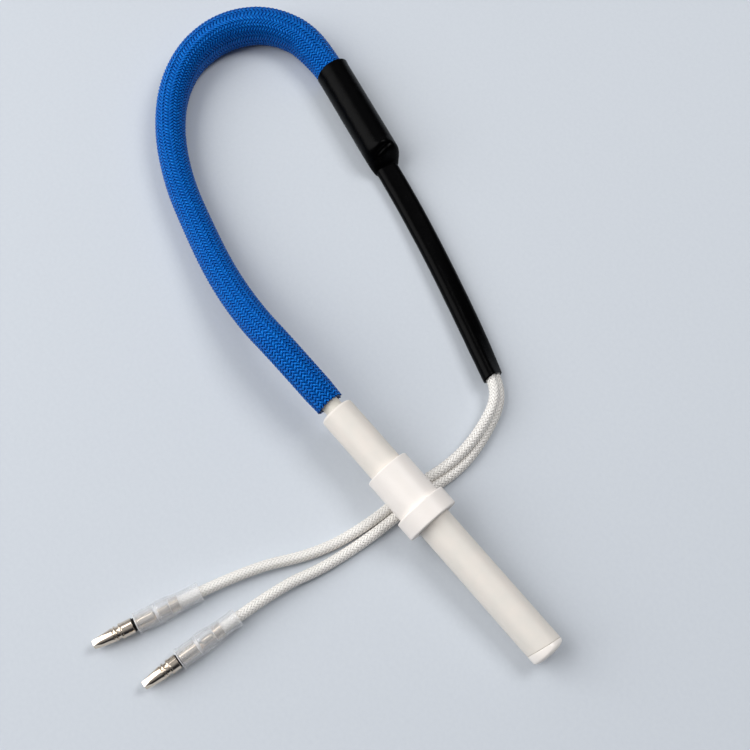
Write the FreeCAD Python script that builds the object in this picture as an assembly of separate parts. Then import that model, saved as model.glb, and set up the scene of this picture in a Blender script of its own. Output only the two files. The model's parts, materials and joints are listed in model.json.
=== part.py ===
import FreeCAD, Part
import math
import os

# Ceramic hot-surface ignition electrode with a sleeved lead pair and two
# covered bullet terminals.  Millimetres.  The heater is built about its own
# axis: station 0 is the front face of the mounting flange and +X runs to the
# tip.  It is then leaned into the pose in which the part is stored, its two
# leads passing under the spigot, and the soft goods are routed around it.

Vector = FreeCAD.Vector
os.makedirs("parts", exist_ok=True)

# ---------------------------------------------------------------- sizes (mm)
# Ceramic heater, stations along its axis
rod_r = 4.75
tube_wall = 1.25
tube_bore_r = rod_r - tube_wall
tube_rear = -38.6
tube_front = 41.7
tube_edge_round = 0.8
glue = 0.12                      # cement thickness between fixed ceramics
tip_rim_front = 42.8
tip_dome = 0.5
tip_edge_round = 0.25
tip_stem_length = 5.0
joint_recess = 0.2               # the joint behind the tip rim is raked out this deep

# Winding inside the tube
core_r = 2.3
core_rear = -31.9
pin_r = 0.35
pin_bore_r = 0.45
pin_spacing = 2.9                # also the pitch of the two leads
pin_rear = -54.0
coil_wire_r = 0.22
coil_clear = 0.05
coil_pitch = 2.16
coil_turns = 13.5
hot_rear = 6.2
hot_front = hot_rear + coil_pitch * coil_turns
core_front = hot_front - 0.6
packing_clear = 0.05

# Rear insulator and its potting
insulator_r = 2.55
insulator_front = -32.0
insulator_rear = -48.0
potting_rear = -38.0

# Mounting collar
seat_ground = 0.2                # depth ground off the rod under the collar
collar_glue = 0.42
seat_r = rod_r - seat_ground
collar_bore_r = seat_r + collar_glue
collar_play = 0.03
seat_inset = 0.2                 # the ground seat stops this far inside the spigot
flange_r = 7.5
flange_length = 5.5
spigot_r = 6.25
spigot_length = 12.8
flange_edge_round = 0.6
spigot_chamfer = 0.4

# Splice between heater pins and leads
splice_front = -51.0
splice_rear = -58.0
splice_r = 0.95
splice_step = -54.3
wire_start = -54.6
lead_start = -59.0

# Lead wires
lead_r = 1.4
conductor_r = 0.6
lead_bore_r = 0.65
floor_gap = 0.05                 # nothing soft is drawn below the floor

# Blue braided sleeve
sleeve_r = 4.4
sleeve_wall = 0.6
sleeve_start = -40.8
sleeve_bend = -60.0              # station where it leaves the heater axis

# Heat-shrink over the sleeve end and over the lead pair
end_shrink_r = 5.2
end_shrink_wall = 0.7
end_shrink_heading = -14.0       # degrees in plan
end_shrink_mouth = Vector(-119.1, 71.7, 0)
end_shrink_body = 27.6
end_shrink_shoulder = 32.0
end_shrink_end = 34.2
neck_wall = 0.6
shrink_fit = 0.12
sleeve_inside_shrink = 17.0
pair_shrink_start = 29.7
pair_settles = 47.7              # station where the pair film comes down to the floor
pair_shrink_wall = 0.5
pair_shrink_fit = 0.1

# Bullet terminals, stations from the tip
bullet_r = 2.0
nose_end_r = 1.15
nose_length = 6.0
groove_front = 6.2
groove_rear = 7.8
groove_r = 1.75
body_rear = 10.4
nose_flat_depth = 0.78           # nose flats: distance from the axis at the end
nose_flat_slope = 14.0           # degrees
barrel_r = 1.6
barrel_rear = 16.5
sheet = 0.4                      # thickness of the rolled brass sheet
wire_crimp_front = 17.6
wire_crimp_rear = 20.4
grip_front = 21.0
grip_rear = 23.4
grip_r = 1.75
seam = 0.12
braid_end = 20.8

# Clear terminal covers, stations from their front edge
cover_length = 17.6
cover_front_r = 2.75
cover_lip_r = 2.92
cover_ring = 5.7
cover_bulge_front = 6.2
cover_bulge_rear = 8.0
cover_bulge_r = 3.0
cover_neck = 12.0
cover_neck_r = 2.45
cover_neck_bore_r = 2.0
cover_tail_r = 2.58
cover_bore_r = 2.3
cover_bulge_bore_r = 2.5

# Where the terminals lie, and how far each cover is pushed on
terminal_z = cover_bulge_r + 0.02
tip_a = Vector(-28.39, -84.42, terminal_z)
tip_b = Vector(-12.09, -80.82, terminal_z)
heading_a = 76.0                 # degrees in plan, tip towards lead
heading_b = 85.7
cover_a_front = 11.7
cover_b_front = 10.5


# ------------------------------------------------------------------- helpers
def turned(outline):
    """Solid turned about the X axis from (station, radius) corners."""
    corners = [Vector(x, 0, r) for x, r in outline]
    face = Part.Face(Part.makePolygon(corners + corners[:1]))
    return face.revolve(Vector(0, 0, 0), Vector(1, 0, 0), 360)


def bar(front, rear, radius, y=0.0):
    """Round bar along X between two stations."""
    length = abs(front - rear)
    return Part.makeCylinder(radius, length, Vector(min(front, rear), y, 0), Vector(1, 0, 0))


def rims(shape, station, radius):
    """Circular edges of a turned piece at one station and radius."""
    found = []
    for edge in shape.Edges:
        if not edge.Degenerated and isinstance(edge.Curve, Part.Circle):
            same_r = abs(edge.Curve.Radius - radius) < 0.01
            same_x = abs(edge.Curve.Center.x - station) < 0.01
            if same_r and same_x:
                found.append(edge)
    return found


def bend_radii(points):
    """Bend radius at each inner point: the arc uses 0.45 of the shorter run."""
    radii = []
    for before, here, after in zip(points, points[1:], points[2:]):
        run_in = here - before
        run_out = after - here
        half_turn = run_in.getAngle(run_out) / 2
        shorter = min(run_in.Length, run_out.Length)
        radii.append(0.45 * shorter / math.tan(half_turn))
    return radii


def route(points, radii):
    """Straight runs joined by tangent arcs, as one wire."""
    edges = []
    start = points[0]
    for before, here, after, radius in zip(points, points[1:], points[2:], radii):
        run_in = (here - before).normalize()
        run_out = (after - here).normalize()
        half_turn = run_in.getAngle(run_out) / 2
        setback = radius * math.tan(half_turn)
        arc_start = here - run_in * setback
        arc_end = here + run_out * setback
        inward = (run_out - run_in).normalize()
        middle = here + inward * (radius / math.cos(half_turn) - radius)
        edges.append(Part.LineSegment(start, arc_start).toShape())
        edges.append(Part.Arc(arc_start, middle, arc_end).toShape())
        start = arc_end
    edges.append(Part.LineSegment(start, points[-1]).toShape())
    return Part.Wire(edges)


def swept(spine, section):
    """Closed section swept along a spine, kept upright."""
    sweep = Part.BRepOffsetAPI.MakePipeShell(spine)
    sweep.setBiNormalMode(Vector(0, 0, 1))
    sweep.add(section)
    sweep.build()
    sweep.makeSolid()
    return Part.Solid(sweep.shape())


def tube(points, radii, outer, inner):
    """Round tube, or solid cord if inner is zero, along a route."""
    along = points[1] - points[0]
    section = Part.Face(Part.Wire(Part.Circle(points[0], along, outer).toShape()))
    if inner > 0:
        bore = Part.Face(Part.Wire(Part.Circle(points[0], along, inner).toShape()))
        section = section.cut(bore).Faces[0]
    return Part.Solid(route(points, radii).makePipe(section))


def report_bends(name, points, diameter):
    """Print the bend radii of a soft route in millimetres and diameters."""
    radii = bend_radii(points)
    text = ", ".join("%.1f (%.1f d)" % (r, r / diameter) for r in radii)
    print(name, "bends:", text)
    return radii


def stadium(centre, side, half_width, half_height):
    """Upright rounded oblong with its long axis along side."""
    up = Vector(0, 0, 1)
    flat = half_width - half_height
    right = centre + side * flat
    left = centre - side * flat
    right_top = right + up * half_height
    right_low = right - up * half_height
    left_top = left + up * half_height
    left_low = left - up * half_height
    edges = [
        Part.Arc(right_low, right + side * half_height, right_top).toShape(),
        Part.LineSegment(right_top, left_top).toShape(),
        Part.Arc(left_top, left - side * half_height, left_low).toShape(),
        Part.LineSegment(left_low, right_low).toShape(),
    ]
    return Part.Wire(edges)


def round_in_four(centre, side, radius):
    """Circle in four arcs that pair with the four edges of a stadium."""
    def rim(angle):
        a = math.radians(angle)
        return centre + side * (radius * math.cos(a)) + Vector(0, 0, radius * math.sin(a))
    spans = [(-65, 0, 65), (65, 90, 115), (115, 180, 245), (245, 270, 295)]
    return Part.Wire([Part.Arc(rim(a), rim(b), rim(c)).toShape() for a, b, c in spans])


pieces = {}

# ------------------------------------------- heater, built on its own axis
# Ceramic tube: one extruded alumina tube, its rear edge rounded
spigot_rear = -flange_length - spigot_length
heater_tube = turned([
    (tube_rear, tube_bore_r),
    (tube_rear, rod_r),
    (spigot_rear + seat_inset, rod_r),
    (spigot_rear + seat_inset, seat_r),
    (0, seat_r),
    (0, rod_r),
    (tube_front, rod_r),
    (tube_front, tube_bore_r),
])
heater_tube = heater_tube.makeFillet(tube_edge_round, rims(heater_tube, tube_rear, rod_r))
pieces["heater_tube"] = heater_tube

# Tip plug: glazed rim with a domed face on a stem cemented into the tube
rim_rear = tube_front + glue
stem_rear = tube_front - tip_stem_length
stem_r = tube_bore_r - glue
rim = turned([(rim_rear, 0), (rim_rear, rod_r), (tip_rim_front, rod_r), (tip_rim_front, 0)])
dome_sphere = (rod_r ** 2 + tip_dome ** 2) / (2 * tip_dome)
dome_centre = tip_rim_front + tip_dome - dome_sphere
dome_mid = 0.5 * math.asin(rod_r / dome_sphere)
dome_edge = Vector(tip_rim_front, 0, rod_r)
dome_top = Vector(tip_rim_front + tip_dome, 0, 0)
dome_half = Vector(dome_centre + dome_sphere * math.cos(dome_mid), 0,
                   dome_sphere * math.sin(dome_mid))
dome_face = Part.Face(Part.Wire([
    Part.Arc(dome_edge, dome_half, dome_top).toShape(),
    Part.LineSegment(dome_top, Vector(tip_rim_front, 0, 0)).toShape(),
    Part.LineSegment(Vector(tip_rim_front, 0, 0), dome_edge).toShape(),
]))
dome = dome_face.revolve(Vector(0, 0, 0), Vector(1, 0, 0), 360)
stem = turned([
    (stem_rear, 0),
    (stem_rear, stem_r - 0.3),
    (stem_rear + 0.3, stem_r),
    (rim_rear, stem_r),
    (rim_rear, 0),
])
tip_plug = rim.fuse(dome).fuse(stem).removeSplitter()
tip_plug = tip_plug.makeFillet(tip_edge_round, rims(tip_plug, tip_rim_front, rod_r))
pieces["tip_plug"] = tip_plug

# Cement film: fills the joint under the rim and around the stem
tip_cement = turned([
    (stem_rear + 0.4, stem_r),
    (stem_rear + 0.4, tube_bore_r),
    (tube_front, tube_bore_r),
    (tube_front, rod_r - joint_recess),
    (rim_rear, rod_r - joint_recess),
    (rim_rear, stem_r),
])
pieces["tip_cement"] = tip_cement

# Twin-bore winding core, notched where the rear pin comes up to the coil
pin_y = pin_spacing / 2
winding_core = bar(core_rear, core_front, core_r)
winding_core = winding_core.cut(bar(core_rear, core_front, pin_bore_r, pin_y))
winding_core = winding_core.cut(bar(core_rear, core_front, pin_bore_r, -pin_y))
notch_width = 2 * pin_bore_r
notch = Part.makeBox(notch_width, core_r, notch_width)
notch.translate(Vector(hot_rear - pin_bore_r, -core_r - pin_y, -pin_bore_r))
winding_core = winding_core.cut(notch)
pieces["winding_core"] = winding_core

# Heating coil: one wire helix over the front half of the core
coil_r = core_r + coil_clear + coil_wire_r
helix = Part.makeHelix(coil_pitch, coil_pitch * coil_turns, coil_r)
coil_corners = []
for corner in range(9):
    a = math.radians(45 * corner)
    coil_corners.append(Vector(coil_r + coil_wire_r * math.cos(a), 0, coil_wire_r * math.sin(a)))
heating_coil = helix.makePipeShell([Part.makePolygon(coil_corners)], True, True)
heating_coil = Part.Solid(heating_coil)
heating_coil.rotate(Vector(0, 0, 0), Vector(0, 1, 0), 90)
heating_coil.rotate(Vector(0, 0, 0), Vector(1, 0, 0), -90)
heating_coil.translate(Vector(hot_rear, 0, 0))
pieces["heating_coil"] = heating_coil

# Two nickel pins: each runs through the core and turns out to its coil end
leg_end = core_r + coil_clear - 0.05
for name, y, turn_station in (("a", pin_y, hot_front), ("b", -pin_y, hot_rear)):
    side = 1 if y > 0 else -1
    pin_points = [
        Vector(pin_rear, y, 0),
        Vector(turn_station, y, 0),
        Vector(turn_station, side * leg_end, 0),
    ]
    pieces["cold_pin_" + name] = tube(pin_points, bend_radii(pin_points), pin_r, 0)

# Magnesia packing: fills round the coil and, behind it, round the core
packing_r = tube_bore_r - packing_clear
coil_room = coil_r + coil_wire_r + packing_clear
core_room = core_r + packing_clear
packing_step = hot_rear - 1.2
core_packing = turned([
    (core_rear, core_room),
    (core_rear, packing_r),
    (stem_rear - 0.1, packing_r),
    (stem_rear - 0.1, coil_room),
    (packing_step, coil_room),
    (packing_step, core_room),
])
pieces["core_packing"] = core_packing

# Rear insulator: twin-bore tube that carries both pins out of the rod
rear_insulator = bar(insulator_rear, insulator_front, insulator_r)
rear_insulator = rear_insulator.cut(bar(insulator_rear, insulator_front, pin_bore_r, pin_y))
rear_insulator = rear_insulator.cut(bar(insulator_rear, insulator_front, pin_bore_r, -pin_y))
insulator_rims = rims(rear_insulator, insulator_rear, insulator_r)
pieces["rear_insulator"] = rear_insulator.makeChamfer(0.3, insulator_rims)

# Potting: closes the rear of the tube just inside its end
insulator_room = insulator_r + packing_clear
rear_cement = turned([
    (potting_rear, insulator_room),
    (potting_rear - 0.3, insulator_room + 0.3),
    (potting_rear, packing_r),
    (insulator_front, packing_r),
    (insulator_front, insulator_room),
])
pieces["rear_cement"] = rear_cement

# Mounting collar: turned flange and spigot in one piece
mounting_collar = turned([
    (0, collar_bore_r),
    (0, flange_r),
    (-flange_length, flange_r),
    (-flange_length, spigot_r),
    (spigot_rear, spigot_r),
    (spigot_rear, collar_bore_r),
])
flange_rims = rims(mounting_collar, 0, flange_r) + rims(mounting_collar, -flange_length, flange_r)
mounting_collar = mounting_collar.makeFillet(flange_edge_round, flange_rims)
spigot_rims = rims(mounting_collar, spigot_rear, spigot_r)
mounting_collar = mounting_collar.makeChamfer(spigot_chamfer, spigot_rims)
pieces["mounting_collar"] = mounting_collar

# Collar cement: thin annulus that bonds the collar to the rod
cement_inset = seat_inset + 0.3
pieces["collar_cement"] = turned([
    (spigot_rear + cement_inset, seat_r + collar_play),
    (spigot_rear + cement_inset, collar_bore_r - collar_play),
    (-cement_inset, collar_bore_r - collar_play),
    (-cement_inset, seat_r + collar_play),
])

# Splice ferrules: crimped tubes joining each pin to its lead conductor
for name, y in (("a", pin_y), ("b", -pin_y)):
    ferrule = bar(splice_rear, splice_front, splice_r, y)
    ferrule = ferrule.cut(bar(splice_step, splice_front, pin_r + 0.05, y))
    ferrule = ferrule.cut(bar(splice_rear, splice_step, lead_bore_r, y))
    pieces["splice_ferrule_" + name] = ferrule

# ------------------------------- lean the heater over the leads, and centre
# The tip rim and the spigot set the lean: the spigot just clears a lead.
lead_b_crossing = -flange_length - lead_r - 0.2
reach = tip_rim_front - tip_edge_round - lead_b_crossing
step = spigot_r - rod_r
lift = 2 * lead_r + 2 * floor_gap
lean = math.asin(lift / math.hypot(reach, step)) + math.atan(step / reach)

soft = ("splice_ferrule_a", "splice_ferrule_b")
turn = FreeCAD.Rotation(Vector(0, 1, 0), math.degrees(lean))
for shape in pieces.values():
    shape.Placement = FreeCAD.Placement(Vector(0, 0, 0), turn).multiply(shape.Placement)
rigid = Part.makeCompound([pieces[name] for name in pieces if name not in soft])
box = rigid.optimalBoundingBox(False, False)
seat = Vector(-(box.XMin + box.XMax) / 2, 0, -box.ZMin)
for shape in pieces.values():
    shape.Placement = FreeCAD.Placement(seat, FreeCAD.Rotation()).multiply(shape.Placement)
print("flange face at", seat, "lean", math.degrees(lean))


def on_axis(station):
    """Point on the leaned heater axis."""
    return seat + Vector(station * math.cos(lean), 0, -station * math.sin(lean))


# ------------------------------------------------------------- blue sleeve
# Woven glass-fibre sleeve: leaves the rod in line, drops to the floor, loops
# round and ends inside the heat-shrink.
shrink_dir = Vector(math.cos(math.radians(end_shrink_heading)),
                    math.sin(math.radians(end_shrink_heading)), 0)
shrink_side = Vector(-shrink_dir.y, shrink_dir.x, 0)


def in_shrink(distance, height):
    """Point on the line of the end shrink, measured in from its mouth."""
    return end_shrink_mouth + shrink_dir * distance + Vector(0, 0, height)


sleeve_z = sleeve_r + floor_gap
shrink_z = end_shrink_r + floor_gap
sleeve_points = [
    on_axis(sleeve_start),
    on_axis(sleeve_bend),
    Vector(-70.0, 0.4, 10.8),
    Vector(-86.5, 3.0, 7.6),
    Vector(-103.0, 7.6, 5.2),
    Vector(-119.0, 12.6, sleeve_z),
    Vector(-134.2, 20.5, sleeve_z),
    Vector(-146.0, 31.0, sleeve_z),
    Vector(-152.2, 43.5, sleeve_z),
    Vector(-152.2, 57.5, sleeve_z),
    Vector(-144.5, 69.2, 4.6),
    in_shrink(-10.0, shrink_z),
    in_shrink(sleeve_inside_shrink, shrink_z),
]
sleeve_bends = report_bends("sleeve", sleeve_points, 2 * sleeve_r)
pieces["braided_sleeve"] = tube(sleeve_points, sleeve_bends, sleeve_r, sleeve_r - sleeve_wall)

# ------------------------------------------------------------- heat-shrink
# Pair shrink: flat oval tube over both leads
pair_half_width = pin_y + lead_r + pair_shrink_fit + pair_shrink_wall
pair_half_height = lead_r + pair_shrink_fit + pair_shrink_wall
pair_z = pair_half_height + floor_gap
neck_z = pair_half_height + shrink_fit + neck_wall + floor_gap
pair_points = [
    in_shrink(pair_shrink_start, neck_z + 0.12),
    in_shrink(pair_settles, pair_z + 0.1),
    Vector(-52.0, 53.8, pair_z),
    Vector(-31.0, 46.2, pair_z),
    Vector(-13.2, 38.93, pair_z),
]
pair_bends = report_bends("pair shrink", pair_points, 2 * pair_half_height)
pair_spine = route(pair_points, pair_bends)
pair_outer = stadium(pair_points[0], shrink_side, pair_half_width, pair_half_height)
pair_inner = stadium(pair_points[0], shrink_side, pair_half_width - pair_shrink_wall,
                     pair_half_height - pair_shrink_wall)
pieces["lead_pair_shrink"] = swept(pair_spine, pair_outer).cut(swept(pair_spine, pair_inner))


# End shrink: round over the sleeve, shouldered down over the pair shrink
def end_shrink_solid(body_r, half_width, half_height):
    """Outside or inside form of the end shrink."""
    mouth = in_shrink(0, shrink_z)
    shoulder = in_shrink(end_shrink_body, shrink_z)
    neck = in_shrink(end_shrink_shoulder, neck_z)
    body_face = Part.Face(round_in_four(mouth, shrink_side, body_r))
    body = body_face.extrude(shrink_dir * end_shrink_body)
    cone = Part.makeLoft([
        round_in_four(shoulder, shrink_side, body_r),
        stadium(neck, shrink_side, half_width, half_height),
    ], True, True)
    neck_face = Part.Face(stadium(neck, shrink_side, half_width, half_height))
    neck_tube = neck_face.extrude(shrink_dir * (end_shrink_end - end_shrink_shoulder))
    return body.fuse(cone).fuse(neck_tube)


neck_half_width = pair_half_width + shrink_fit
neck_half_height = pair_half_height + shrink_fit
shrink_outside = end_shrink_solid(end_shrink_r, neck_half_width + neck_wall,
                                  neck_half_height + neck_wall)
shrink_inside = end_shrink_solid(end_shrink_r - end_shrink_wall, neck_half_width,
                                 neck_half_height)
pieces["sleeve_end_shrink"] = shrink_outside.cut(shrink_inside)

# ------------------------------------------------------------------- leads
# The pair runs through the sleeve and the shrink, crosses under the spigot
# behind the flange and then splits to the two terminals.
lead_z = lead_r + floor_gap
lead_in_sleeve_z = 3.9
crossing_x = -4.8
centre_points = [
    on_axis(wire_start),
    on_axis(-64.0),
    Vector(-72.0, 0.4, 9.9),
    Vector(-87.0, 3.0, 6.9),
    Vector(-103.0, 7.6, 4.5),
    Vector(-119.0, 12.6, lead_in_sleeve_z),
    Vector(-134.2, 20.5, lead_in_sleeve_z),
    Vector(-146.0, 31.0, lead_in_sleeve_z),
    Vector(-152.2, 43.5, lead_in_sleeve_z),
    Vector(-152.2, 57.5, lead_in_sleeve_z),
    Vector(-144.5, 69.2, 4.0),
    in_shrink(-10.0, 4.4),
    in_shrink(12.0, 4.2),
    in_shrink(pair_shrink_start - 2.0, neck_z + 0.2),
    in_shrink(pair_settles, pair_z + 0.1),
    Vector(-52.0, 53.8, pair_z),
    Vector(-31.0, 46.2, pair_z),
    Vector(-8.4, 36.97, pair_z),
    Vector(-4.5, 26.8, lead_z),
    Vector(-2.8, 15.9, lead_z),
    Vector(crossing_x, 3.2, lead_z),
    Vector(crossing_x + 0.2, -9.2, lead_z),
]
lead_dir_a = Vector(math.cos(math.radians(heading_a)), math.sin(math.radians(heading_a)), 0)
lead_dir_b = Vector(math.cos(math.radians(heading_b)), math.sin(math.radians(heading_b)), 0)
tail_a = [
    Vector(-6.3, -11.3, lead_z),
    Vector(-9.3, -27.0, lead_z),
    tip_a + lead_dir_a * 38.5,
    tip_a + lead_dir_a * wire_crimp_front,
]
tail_b = [
    Vector(-3.2, -10.8, lead_z),
    Vector(-5.3, -28.0, lead_z),
    tip_b + lead_dir_b * 37.5,
    tip_b + lead_dir_b * wire_crimp_front,
]


def to_the_right(before, here, after, distance):
    """Corner of a route shifted sideways in plan, so both runs stay parallel."""
    run_in = Vector(here.x - before.x, here.y - before.y, 0).normalize()
    run_out = Vector(after.x - here.x, after.y - here.y, 0).normalize()
    square = (run_in + run_out).normalize()
    normal = Vector(square.y, -square.x, 0)
    return here + normal * (distance / math.cos(run_in.getAngle(run_out) / 2))


def lead_points(distance, tail):
    """One lead: beside the centre line of the pair, then its own tail."""
    first = centre_points[0] + Vector(0, distance, 0)
    beside = [first]
    for before, here, after in zip(centre_points, centre_points[1:], centre_points[2:]):
        beside.append(to_the_right(before, here, after, distance))
    return beside + tail


def lead_radii(distance, points):
    """Bends of the pair share their centres; the tail bends stand alone."""
    centre = bend_radii(centre_points)
    own = bend_radii(points)
    radii = []
    for index, radius in enumerate(own):
        if index < len(centre) - 1:
            before, here, after = centre_points[index:index + 3]
            turn_axis = (here - before).cross(after - here).normalize()
            radii.append(centre[index] + distance * turn_axis.z)
        else:
            radii.append(radius)
    return radii


conductors = {}
for name, distance, tail in (("a", pin_y, tail_a), ("b", -pin_y, tail_b)):
    wire_points = lead_points(distance, tail)
    radii = lead_radii(distance, wire_points)
    print("lead", name, "bends:", ", ".join("%.1f" % r for r in radii))
    pieces["lead_%s_core" % name] = tube(wire_points, radii, conductor_r, 0)
    tip = tip_a if name == "a" else tip_b
    lead_dir = lead_dir_a if name == "a" else lead_dir_b
    start_shift = (wire_points[1] - wire_points[0]).normalize() * (wire_start - lead_start)
    jacket_points = list(wire_points)
    jacket_points[0] = wire_points[0] + start_shift
    jacket_points[-1] = tip + lead_dir * braid_end
    pieces["lead_%s_braid" % name] = tube(jacket_points, radii, lead_r, lead_bore_r)

# --------------------------------------------------------------- terminals
# Rolled bullet: tapered nose with four flats, waist groove, hollow barrel,
# then a crimp on the conductor and a grip on the braid, linked by a trough.
bullet = turned([
    (0, 0),
    (0, nose_end_r - 0.25),
    (0.25, nose_end_r),
    (nose_length - 0.2, bullet_r - 0.05),
    (groove_front, groove_r),
    (groove_rear, groove_r),
    (groove_rear + 0.25, bullet_r),
    (body_rear - 0.1, bullet_r),
    (body_rear, bullet_r - 0.1),
    (body_rear, barrel_r),
    (barrel_rear, barrel_r),
    (barrel_rear, 0),
])
hollow = turned([
    (1.8, 0),
    (1.8, 0.3),
    (nose_length, groove_r - sheet),
    (groove_rear, groove_r - sheet),
    (groove_rear + 0.4, bullet_r - sheet),
    (body_rear - sheet - 0.4, bullet_r - sheet),
    (body_rear - sheet, barrel_r - sheet),
    (barrel_rear + 1, barrel_r - sheet),
    (barrel_rear + 1, 0),
])
bullet = bullet.cut(hollow)
for turn_angle in (45, 135, 225, 315):
    flat = Part.makeBox(9, 6, 3, Vector(-0.5, -3, 0))
    flat.rotate(Vector(0, 0, 0), Vector(0, 1, 0), -nose_flat_slope)
    flat.translate(Vector(0, 0, nose_flat_depth))
    flat.rotate(Vector(0, 0, 0), Vector(1, 0, 0), turn_angle)
    bullet = bullet.cut(flat)
wire_crimp = bar(wire_crimp_front, wire_crimp_rear, lead_bore_r + sheet)
wire_crimp = wire_crimp.cut(bar(wire_crimp_front, wire_crimp_rear, lead_bore_r))
braid_grip = bar(grip_front, grip_rear, grip_r).cut(bar(grip_front, grip_rear, lead_r + 0.03))
trough = turned([
    (barrel_rear - 0.5, barrel_r - sheet),
    (barrel_rear - 0.5, barrel_r),
    (grip_front, grip_r),
    (grip_front + 0.3, grip_r),
    (grip_front + 0.3, lead_r + 0.03),
    (grip_front, lead_r + 0.03),
])
trough_keep = Part.makeBox(8, 1.8, 2, Vector(barrel_rear - 1, -0.9, -2))
trough = trough.common(trough_keep)
web_length = wire_crimp_rear - wire_crimp_front
web = Part.makeBox(web_length, 0.8, 0.7, Vector(wire_crimp_front, -0.4, -1.55))
bullet = bullet.fuse(wire_crimp).fuse(braid_grip).fuse(trough).fuse(web)
bullet = bullet.cut(bar(wire_crimp_front - 1, wire_crimp_rear + 0.3, lead_bore_r))
seam_slot = Part.makeBox(grip_rear - groove_rear, seam, 3)
seam_slot.translate(Vector(groove_rear + 0.3, -seam / 2, 0))
bullet = bullet.cut(seam_slot).removeSplitter()

# Clear soft cover: lipped mouth, inner ring where the bulge starts, neck
cover = turned([
    (0, cover_bore_r),
    (0, cover_lip_r - 0.1),
    (0.15, cover_lip_r),
    (0.75, cover_lip_r),
    (0.95, cover_front_r),
    (cover_ring, cover_front_r + 0.08),
    (cover_bulge_front, cover_bulge_r),
    (cover_bulge_rear, cover_bulge_r),
    (cover_neck, cover_neck_r),
    (cover_length - 0.8, cover_neck_r),
    (cover_length - 0.7, cover_tail_r),
    (cover_length, cover_tail_r),
    (cover_length, cover_neck_bore_r),
    (cover_neck, cover_neck_bore_r),
    (cover_bulge_rear, cover_bulge_bore_r),
    (cover_bulge_front, cover_bulge_bore_r),
    (cover_ring, cover_bore_r),
])

for name, tip, heading, front in (
    ("a", tip_a, heading_a, cover_a_front),
    ("b", tip_b, heading_b, cover_b_front),
):
    along = FreeCAD.Rotation(Vector(0, 0, 1), heading)
    pin = bullet.copy()
    pin.Placement = FreeCAD.Placement(tip, along)
    pieces["bullet_pin_" + name] = pin
    sleeve = cover.copy()
    sleeve.Placement = FreeCAD.Placement(tip + along.multVec(Vector(front, 0, 0)), along)
    pieces["terminal_cover_" + name] = sleeve

# ------------------------------------------------------------------ output
for name, shape in pieces.items():
    if not shape.isValid() or len(shape.Solids) != 1:
        print("CHECK", name, "valid", shape.isValid(), "solids", len(shape.Solids))
    shape.exportStep("parts/%s.step" % name)
    b = shape.BoundBox
    print("%-20s %9.1f mm3  x %.2f..%.2f  y %.2f..%.2f  z %.2f..%.2f" % (
        name, shape.Volume, b.XMin, b.XMax, b.YMin, b.YMax, b.ZMin, b.ZMax))
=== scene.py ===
import json
import math
import random

import bmesh
import bpy
from mathutils import Matrix, Vector


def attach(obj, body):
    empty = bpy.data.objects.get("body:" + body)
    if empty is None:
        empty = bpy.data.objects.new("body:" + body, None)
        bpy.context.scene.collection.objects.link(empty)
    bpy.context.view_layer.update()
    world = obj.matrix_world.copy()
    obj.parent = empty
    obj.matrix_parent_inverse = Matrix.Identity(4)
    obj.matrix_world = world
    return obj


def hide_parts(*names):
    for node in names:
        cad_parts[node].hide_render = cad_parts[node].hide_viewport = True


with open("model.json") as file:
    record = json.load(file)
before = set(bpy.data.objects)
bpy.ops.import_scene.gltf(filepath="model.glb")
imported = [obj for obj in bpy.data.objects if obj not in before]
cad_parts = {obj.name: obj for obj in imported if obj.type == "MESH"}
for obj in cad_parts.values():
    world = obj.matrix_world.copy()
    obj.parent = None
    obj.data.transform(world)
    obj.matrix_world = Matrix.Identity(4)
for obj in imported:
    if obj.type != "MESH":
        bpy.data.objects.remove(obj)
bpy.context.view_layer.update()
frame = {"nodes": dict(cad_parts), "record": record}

# Table: a plain pale board that the part lies on. A soft lamp stands high on the
# far side, a broader one on the near left, and the room is dim, but for a pale
# stretch of ceiling.
MM = 0.001
UP = Vector((0, 0, 1))
bpy.context.scene.view_settings.view_transform = "Standard"


def wired(tree, kind, sockets=None, **settings):
    """A shader node with its settings, and its sockets set or linked."""
    made = tree.nodes.new(kind)
    for setting, value in settings.items():
        setattr(made, setting, value)
    for socket, value in (sockets or {}).items():
        if isinstance(value, bpy.types.NodeSocket):
            tree.links.new(value, made.inputs[socket])
        else:
            made.inputs[socket].default_value = value
    return made


def new_finish(name, **sockets):
    """A material and its main shader, with plain values on the shader's own sockets."""
    finish = bpy.data.materials.new(name)
    finish.use_nodes = True
    shader = finish.node_tree.nodes["Principled BSDF"]
    for socket, value in sockets.items():
        shader.inputs[socket.replace("_", " ")].default_value = value
    return finish, finish.node_tree, shader


board_finish, tree, shader = new_finish("pale_board", Roughness=0.85)
place = wired(tree, "ShaderNodeTexCoord").outputs["Object"]
grain = wired(tree, "ShaderNodeTexNoise", {"Vector": place, "Scale": 900.0, "Detail": 3.0})
tones = wired(tree, "ShaderNodeMix", {
    "Factor": grain.outputs["Fac"],
    "A": (0.55, 0.585, 0.63, 1),
    "B": (0.59, 0.625, 0.665, 1),
}, data_type="RGBA")
tree.links.new(tones.outputs["Result"], shader.inputs["Base Color"])
board_mesh = bpy.data.meshes.new("board")
board_shape = bmesh.new()
bmesh.ops.create_grid(board_shape, x_segments=1, y_segments=1, size=4.0)
board_shape.to_mesh(board_mesh)
board_shape.free()
board_mesh.materials.append(board_finish)
board = bpy.data.objects.new("board", board_mesh)
bpy.context.scene.collection.objects.link(board)


def soft_lamp(name, place, aim, size, power):
    """A square lamp of that size in metres, turned to face a point."""
    light = bpy.data.lights.new(name, "AREA")
    light.size = size
    light.energy = power
    lamp = bpy.data.objects.new(name, light)
    lamp.location = place
    lamp.rotation_euler = (Vector(aim) - Vector(place)).to_track_quat("-Z", "Y").to_euler()
    bpy.context.scene.collection.objects.link(lamp)


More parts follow.
